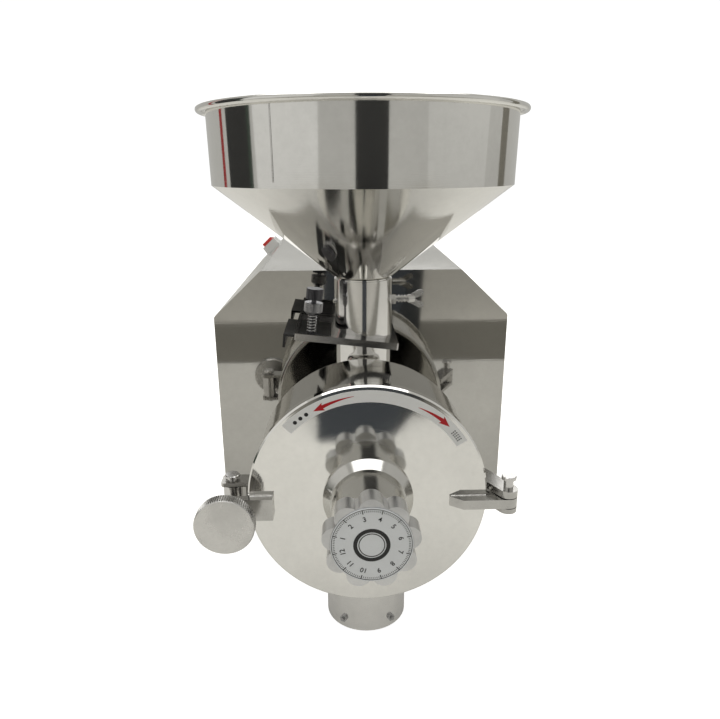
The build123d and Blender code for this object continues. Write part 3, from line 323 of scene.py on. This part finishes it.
def part_of(socket):
    made = turned.nodes.new("ShaderNodeVectorMath")
    made.operation = "MULTIPLY"
    turned.links.new(from_centre.outputs[0], made.inputs[0])
    turned.links.new(turned_in.outputs[socket], made.inputs[1])
    size = turned.nodes.new("ShaderNodeVectorMath")
    size.operation = "LENGTH"
    turned.links.new(made.outputs[0], size.inputs[0])
    return size.outputs["Value"]


travel = calculate(turned, "ADD", part_of("Across"), part_of("Along"))
rings = turned.nodes.new("ShaderNodeTexNoise")
rings.noise_dimensions = "1D"
rings.inputs["Scale"].default_value = 1
rings.inputs["Detail"].default_value = 3
turned.links.new(calculate(turned, "MULTIPLY", travel, turned_in.outputs["Count"]), rings.inputs["W"])
turned.links.new(rings.outputs["Fac"], turned_out.inputs["Height"])
print("group", turned.name)

# %% [markdown]
# ## Steel finishes
# All the steel is stainless, but no two parts are polished alike. The sheet parts and the cover are
# nearly mirrors; the turned boss and the clamp's hand wheel keep fine lathe lines; the gate is
# duller. The plate steel's tone is darker than the casing's as painted shade, standing in for the
# darker room that the plates reflect. One maker below builds each finish from its tone, its haze and its
# lines.

# %% Make a steel finish
finishes = {}
first_color, second_color, mixed_color = 6, 7, 2    # colour sockets of a mix node


def steel(name, tone, least, most, size=9.0, stretch=None, centre=None, count=900.0, along=0.0,
          across=(1, 0, 1), depth=0.05, dark=0.86):
    """A polished or turned steel: tone, haze from least to most, and lines pressed in by depth."""
    made = bpy.data.materials.new(name)
    made.use_nodes = True
    tree = made.node_tree
    shader = tree.nodes["Principled BSDF"]
    shader.inputs["Metallic"].default_value = 1.0
    place = tree.nodes.new("ShaderNodeTexCoord").outputs["Object"]
    wiped = tree.nodes.new("ShaderNodeGroup")
    wiped.node_tree = haze
    tree.links.new(place, wiped.inputs["Place"])
    wiped.inputs["Size"].default_value = size
    wiped.inputs["Least"].default_value = least
    wiped.inputs["Most"].default_value = most
    tree.links.new(wiped.outputs["Roughness"], shader.inputs["Roughness"])
    shade = tree.nodes.new("ShaderNodeMix")
    shade.data_type = "RGBA"
    shade.inputs[first_color].default_value = (*tone, 1)
    shade.inputs[second_color].default_value = (*(dark * c for c in tone), 1)
    tree.links.new(wiped.outputs["Cloud"], shade.inputs[0])
    tree.links.new(shade.outputs[mixed_color], shader.inputs["Base Color"])
    marks = tree.nodes.new("ShaderNodeGroup")
    if centre is None:
        marks.node_tree = lines
        marks.inputs["Stretch"].default_value = stretch or (30, 30, 900)
    else:
        marks.node_tree = turned
        marks.inputs["Centre"].default_value = centre
        marks.inputs["Across"].default_value = across
        marks.inputs["Along"].default_value = tuple(along * (1 - c) for c in across)
        marks.inputs["Count"].default_value = count
    tree.links.new(place, marks.inputs["Place"])
    press = tree.nodes.new("ShaderNodeBump")
    press.inputs["Strength"].default_value = depth
    press.inputs["Distance"].default_value = 0.0004
    tree.links.new(marks.outputs["Height"], press.inputs["Height"])
    tree.links.new(press.outputs["Normal"], shader.inputs["Normal"])
    finishes[name] = made
    return made


shaft_line = (0, 0, shaft_z)
clamp_line = (middle("clamp_knob").x, 0, middle("clamp_knob").z)
hopper_line = (hopper_mid.x, hopper_mid.y, 0)
steel("casing_steel", (0.74, 0.73, 0.70), 0.08, 0.17, stretch=(20, 500, 20), depth=0.03)
# plate_steel's tone is painted shade: set darker than the casing's to stand in for the plates' darker
# reflections
steel("plate_steel", (0.52, 0.51, 0.485), 0.025, 0.06, stretch=(20, 20, 500), depth=0.012)
steel("hopper_steel", (0.80, 0.79, 0.76), 0.04, 0.10, centre=hopper_line, across=(1, 1, 0), along=1.0,
      count=700, depth=0.03)
steel("throat_steel", (0.76, 0.75, 0.73), 0.08, 0.16, stretch=(30, 30, 700), depth=0.03)
steel("drum_steel", (0.74, 0.73, 0.70), 0.06, 0.13, centre=shaft_line, along=1.0, count=600, depth=0.03)
steel("cover_steel", (0.88, 0.87, 0.84), 0.05, 0.10, centre=shaft_line, count=900, depth=0.025)
steel("boss_steel", (0.64, 0.63, 0.60), 0.10, 0.20, centre=shaft_line, along=1.0, count=1200, depth=0.12)
steel("spout_steel", (0.86, 0.85, 0.83), 0.10, 0.20, stretch=(30, 30, 900), depth=0.05)
steel("gate_steel", (0.52, 0.51, 0.50), 0.12, 0.26, stretch=(30, 600, 30), depth=0.08)
steel("bracket_steel", (0.56, 0.55, 0.53), 0.14, 0.30, size=40, stretch=(400, 60, 400), depth=0.1)
steel("pin_steel", (0.70, 0.69, 0.68), 0.12, 0.24, size=40, stretch=(60, 60, 900), depth=0.1)
steel("knob_steel", (0.70, 0.69, 0.67), 0.22, 0.34, size=30, centre=clamp_line, count=1600, depth=0.25)
steel("star_grey", (0.70, 0.70, 0.70), 0.30, 0.42, size=40, stretch=(300, 300, 300), depth=0.10)
steel("screw_steel", (0.48, 0.48, 0.48), 0.18, 0.32, size=60, stretch=(200, 200, 200), depth=0.1)
steel("dark_steel", (0.13, 0.13, 0.14), 0.28, 0.42, size=60, stretch=(200, 200, 200), depth=0.2)
steel("nut_steel", (0.42, 0.42, 0.43), 0.25, 0.38, size=60, stretch=(200, 200, 200), depth=0.2)
steel("shaft_steel", (0.60, 0.60, 0.60), 0.14, 0.26, centre=shaft_line, along=1.0, count=900, depth=0.1)
steel("lamination", (0.22, 0.22, 0.23), 0.4, 0.6, centre=shaft_line, along=1.0, count=2000, depth=0.6)
steel("disc_iron", (0.25, 0.24, 0.23), 0.40, 0.60, size=30, stretch=(200, 200, 200), depth=0.3)
steel("winding_copper", (0.62, 0.27, 0.12), 0.30, 0.45, centre=shaft_line, count=700, depth=1.0)
print(len(finishes), "steels")

# %% [markdown]
# ## Plastics, rubber and paint
# The gate's slide is painted black, the feet and seals are rubber, the switch is a red rocker in a
# milky splash cover. Each has a fine moulded or sprayed grain, which is a bump, and a roughness
# that wanders a little, so that none of them is one flat colour.

# %% Make a moulded or painted finish
def moulded(name, color, least, most, grain=900.0, depth=0.08, size=30.0, coat=0.0, milky=0.0, dark=0.8):
    made = bpy.data.materials.new(name)
    made.use_nodes = True
    tree = made.node_tree
    shader = tree.nodes["Principled BSDF"]
    shader.inputs["Coat Weight"].default_value = coat
    shader.inputs["Transmission Weight"].default_value = milky
    place = tree.nodes.new("ShaderNodeTexCoord").outputs["Object"]
    wiped = tree.nodes.new("ShaderNodeGroup")
    wiped.node_tree = haze
    tree.links.new(place, wiped.inputs["Place"])
    wiped.inputs["Size"].default_value = size
    wiped.inputs["Least"].default_value = least
    wiped.inputs["Most"].default_value = most
    tree.links.new(wiped.outputs["Roughness"], shader.inputs["Roughness"])
    shade = tree.nodes.new("ShaderNodeMix")
    shade.data_type = "RGBA"
    shade.inputs[first_color].default_value = (*color, 1)
    shade.inputs[second_color].default_value = (*(dark * c for c in color), 1)
    tree.links.new(wiped.outputs["Cloud"], shade.inputs[0])
    tree.links.new(shade.outputs[mixed_color], shader.inputs["Base Color"])
    speck = noise(tree, grain, 2)
    tree.links.new(place, speck.inputs["Vector"])
    press = tree.nodes.new("ShaderNodeBump")
    press.inputs["Strength"].default_value = depth
    press.inputs["Distance"].default_value = 0.0003
    tree.links.new(speck.outputs["Fac"], press.inputs["Height"])
    tree.links.new(press.outputs["Normal"], shader.inputs["Normal"])
    finishes[name] = made
    return made


moulded("gate_black", (0.012, 0.012, 0.013), 0.25, 0.45, coat=0.2)
moulded("gland_black", (0.02, 0.02, 0.02), 0.45, 0.6)
moulded("dial_face", (0.82, 0.84, 0.86), 0.18, 0.26, depth=0.02, dark=0.94, coat=0.3)
moulded("label_white", (0.86, 0.86, 0.85), 0.25, 0.35, depth=0.02, dark=0.95)
moulded("switch_white", (0.82, 0.82, 0.80), 0.15, 0.25, depth=0.03, milky=0.35, coat=0.4, dark=0.95)
moulded("switch_red", (0.68, 0.02, 0.012), 0.14, 0.24, depth=0.02, milky=0.1, coat=0.5)
moulded("rubber_black", (0.018, 0.018, 0.018), 0.55, 0.75, grain=1400, depth=0.3)
moulded("motor_paint", (0.23, 0.26, 0.29), 0.30, 0.45, grain=1600, depth=0.15)
moulded("fan_plastic", (0.05, 0.05, 0.055), 0.35, 0.5)
moulded("print_black", (0.010, 0.010, 0.011), 0.3, 0.4, depth=0.02)
moulded("print_red", (0.52, 0.006, 0.014), 0.25, 0.35, depth=0.02)
print(len(finishes), "finishes in all")

# %% Put the finishes on the parts
for part in frame["record"]["subparts"]:
    finish = finishes[part["material_slot"]]
    piece = nodes[part["node"]]
    if not piece.material_slots:
        piece.data.materials.append(finish)
    for place in piece.material_slots:
        place.material = finish

# %% [markdown]
# ## Small added pieces
# Printed marks are thin raised meshes, a tenth of a millimetre thick, that ride on the part they are
# printed on. One helper turns a list of flat outlines in the face's plane into such a piece.

# %% Helpers for added pieces and flat marks
def added(name, work, body, finish, smooth=False):
    """Turn a worked mesh into a piece with a finish that rides on a body."""
    mesh = bpy.data.meshes.new(name)
    work.to_mesh(mesh)
    work.free()
    for face in mesh.polygons:
        face.use_smooth = smooth
    made = bpy.data.objects.new(name, mesh)
    bpy.context.scene.collection.objects.link(made)
    mesh.materials.append(finishes[finish])
    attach(made, body)
    return made


def on_face(name, outlines, y, thick, body, finish, centre=(0.0, None)):
    """Outlines are lists of (right, up) in millimetres from the centre, each a closed flat shape."""
    cx, cz = centre[0], shaft_z if centre[1] is None else centre[1]
    work = bmesh.new()
    for outline in outlines:
        back = [work.verts.new((cx + u * MM, y, cz + v * MM)) for u, v in outline]
        face = work.faces.new(back)
        moved = bmesh.ops.extrude_face_region(work, geom=[face])["geom"]
        for vert in (v for v in moved if isinstance(v, bmesh.types.BMVert)):
            vert.co.y -= thick * MM
    bmesh.ops.recalc_face_normals(work, faces=work.faces)
    return added(name, work, body, finish)


def turned_point(radius, angle):
    """A point at an angle in degrees, counted clockwise from the top."""
    return radius * sin(radians(angle)), radius * cos(radians(angle))


print("mark helper ready")

# %% The dial's ticks
def tick(angle, inner, outer, width):
    right, up = turned_point(1, angle)
    side = (up * width / 2, -right * width / 2)
    return [(inner * right - side[0], inner * up - side[1]), (outer * right - side[0], outer * up - side[1]),
            (outer * right + side[0], outer * up + side[1]), (inner * right + side[0], inner * up + side[1])]


number_start = -74.0            # degrees from the top, where the 1 stands
print_half = 0.06 * MM          # half of a printed mark's thickness
ticks = []
for step in range(120):
    angle = number_start + 3 * step
    if step % 10 == 0:
        ticks.append(tick(angle, 30.2, 33.8, 0.8))
    else:
        ticks.append(tick(angle, 31.2, 32.8, 0.42))
on_face("dial_ticks", ticks, dial_face, 0.12, "dial_knob", "print_black")
print(len(ticks), "ticks")

# %% [markdown]
# The numbers 1 to 12 run clockwise and their tops point outwards. Text objects carry them: the font
# is Blender's own plain one, and each number is turned about the dial's centre.

# %% The dial's numbers
for number in range(1, 13):
    angle = number_start + 30 * (number - 1)
    text = bpy.data.curves.new(f"number_{number}", "FONT")
    text.body = str(number)
    text.size = 6.2 * MM
    text.offset = 0.08 * MM
    text.extrude = print_half
    text.align_x = "CENTER"
    text.align_y = "CENTER"
    made = bpy.data.objects.new(f"number_{number}", text)
    bpy.context.scene.collection.objects.link(made)
    right, up = turned_point(25.0 * MM, angle)
    turn = Matrix.Rotation(radians(angle), 3, "Y") @ Matrix.Rotation(pi / 2, 3, "X")
    made.rotation_euler = turn.to_euler()
    made.location = (right, dial_face - print_half, shaft_z + up)
    text.materials.append(finishes["print_black"])
    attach(made, "dial_knob")
print("twelve numbers")

# %% The dial's plain centre rings
def ring_outline(name, inner, outer, y, thick, body, finish, steps=96):
    """A flat ring on a face that looks forward, about the shaft."""
    work = bmesh.new()
    loops = []
    for radius in (inner, outer):
        for depth in (0, thick):
            loops.append([work.verts.new((turned_point(radius * MM, 360 * i / steps)[0], y - depth * MM,
                                          shaft_z + turned_point(radius * MM, 360 * i / steps)[1]))
                          for i in range(steps)])
    inner_back, inner_front, outer_back, outer_front = loops
    for a, b in ((inner_front, outer_front), (outer_front, outer_back), (outer_back, inner_back),
                 (inner_back, inner_front)):
        for i in range(steps):
            j = (i + 1) % steps
            work.faces.new((a[i], a[j], b[j], b[i]))
    bmesh.ops.recalc_face_normals(work, faces=work.faces)
    return added(name, work, body, finish)


ring_outline("dial_ring_wide", 12.2, 15.6, dial_face, 0.12, "dial_knob", "print_black")
ring_outline("dial_ring_thin", 10.4, 11.2, dial_face, 0.12, "dial_knob", "print_black")
ring_outline("dial_edge_line", 33.6, 34.1, dial_face, 0.10, "dial_knob", "print_black")
print("three rings")

# %% [markdown]
# The curved label over the cover shows two red arrows, one towards coarse meal and one towards fine.
# Each arrow is a thin tail that thickens along an arc and ends in a head. In place of words, large
# dots stand for coarse and small dots for fine.

# %% The label's arrows
label_face = low("arc_label").y


def curved_arrow(start, end, middle_r, tip_r, widest, head, head_half):
    """An arrow along an arc between two angles, as one outline."""
    way = 1 if end > start else -1
    neck = end - way * head
    shaft_out, shaft_in = [], []
    for i in range(15):
        part = i / 14
        angle = start + (neck - start) * part
        radius = middle_r + (tip_r - middle_r) * part
        half = 0.15 + (widest / 2 - 0.15) * part
        shaft_out.append(turned_point(radius + half, angle))
        shaft_in.append(turned_point(radius - half, angle))
    back = neck - way * 0.6
    return (shaft_out + [turned_point(tip_r + head_half, back), turned_point(tip_r, end),
                         turned_point(tip_r - head_half, back)] + shaft_in[::-1])


arrows = [curved_arrow(-7, -29, 104.6, 102.8, 3.4, 5.2, 4.0),
          curved_arrow(26.5, 46, 103.0, 104.6, 3.6, 5.2, 4.0)]
on_face("label_arrows", arrows, label_face, 0.08, "cover_group", "print_red")


def dot(angle, radius, size):
    right, up = turned_point(radius, angle)
    return [(right + size * sin(2 * pi * i / 20), up + size * cos(2 * pi * i / 20)) for i in range(20)]


coarse = [dot(angle, 103.4, 1.9) for angle in (-33.0, -36.6, -40.2)]
fine = [dot(49.6 + 1.3 * column, 101.8 + 1.9 * row, 0.65) for column in range(5) for row in range(3)]
on_face("label_dots", coarse + fine, label_face, 0.08, "cover_group", "print_black")
print("two arrows and", len(coarse + fine), "dots")

# %% [markdown]
# ## Weld beads
# The clamp's lug, the hinge's arm and both brackets are welded on, with a small rippled bead along
# the joint; beads are laid here along the lug's and the arm's joints only. Such a bead is a row of
# overlapping flat drops, so a chain of squashed spheres joined in one mesh gives both its ripple and its
# uneven edge.

# %% Lay the weld beads
def bead(name, start, end, radius, flat, body, count=None):
    """A rippled bead between two points, in metres, with drops of the given radius."""
    start, end = Vector(start), Vector(end)
    count = count or max(3, int((end - start).length / (radius * 0.75)))
    work = bmesh.new()
    for i in range(count):
        part = i / (count - 1)
        wobble = 1 + 0.14 * sin(7.3 * i) + 0.07 * cos(3.1 * i)
        drop = bmesh.ops.create_icosphere(work, subdivisions=2, radius=radius * wobble)["verts"]
        bmesh.ops.scale(work, vec=(1, 1, flat), verts=drop)
        bmesh.ops.translate(work, vec=start.lerp(end, part), verts=drop)
    return added(name, work, body, "bracket_steel", smooth=True)


lug_low, lug_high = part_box("clamp_lug")
arm_low, arm_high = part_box("hinge_arm")
cover_edge_x = high("cover").x
bead("weld_lug", (-cover_edge_x + 3 * MM, lug_high.y - 1 * MM, lug_high.z),
     (lug_high.x - 1 * MM, lug_high.y - 1 * MM, lug_high.z), 1.6 * MM, 0.6, "cover_group")
bead("weld_arm", (arm_low.x + 2 * MM, cover_face - 0.2 * MM, arm_high.z),
     (cover_edge_x - 2 * MM, cover_face - 0.2 * MM, arm_high.z), 1.6 * MM, 0.6, "cover_group")
print("weld beads laid")

# %% [markdown]
# ## The hopper's seam
# The hopper's straight wall is one strip, rolled and welded, then ground. All that is left of the
# weld is a faint upright line, so a very thin strip with a duller finish stands for it.

# %% The ground seam on the hopper
def strip_round(name, angle, width, z0, z1, r0, r1, proud, body, finish, rows=12):
    """A thin upright strip on a round wall; the angle counts from the front to the right."""
    work = bmesh.new()
    rings_made = []
    for i in range(rows + 1):
        part = i / rows
        radius = r0 + (r1 - r0) * part + proud * MM
        row = []
        for side in (-1, 0, 1):
            turn = radians(angle) + side * width * MM / radius / 2
            row.append(work.verts.new((hopper_mid.x + radius * sin(turn), hopper_mid.y - radius * cos(turn),
                                       z0 + (z1 - z0) * part)))
        rings_made.append(row)
    for below, above in zip(rings_made, rings_made[1:]):
        for i in range(2):
            work.faces.new((below[i], below[i + 1], above[i + 1], above[i]))
    bmesh.ops.recalc_face_normals(work, faces=work.faces)
    return added(name, work, body, finish, smooth=True)


steel("seam_steel", (0.60, 0.59, 0.57), 0.22, 0.34, size=60, stretch=(60, 60, 900), depth=0.2)
seam_angle, seam_width = -31.0, 1.6
wall_low_r, wall_high_r = 149.95 * MM, 150.9 * MM
rim_z = high("hopper").z
strip_round("hopper_seam", seam_angle, seam_width, rim_z - 66 * MM, rim_z - 6 * MM,
            wall_low_r, wall_high_r, 0.15, "hopper_bowl", "seam_steel")
print("seam made")
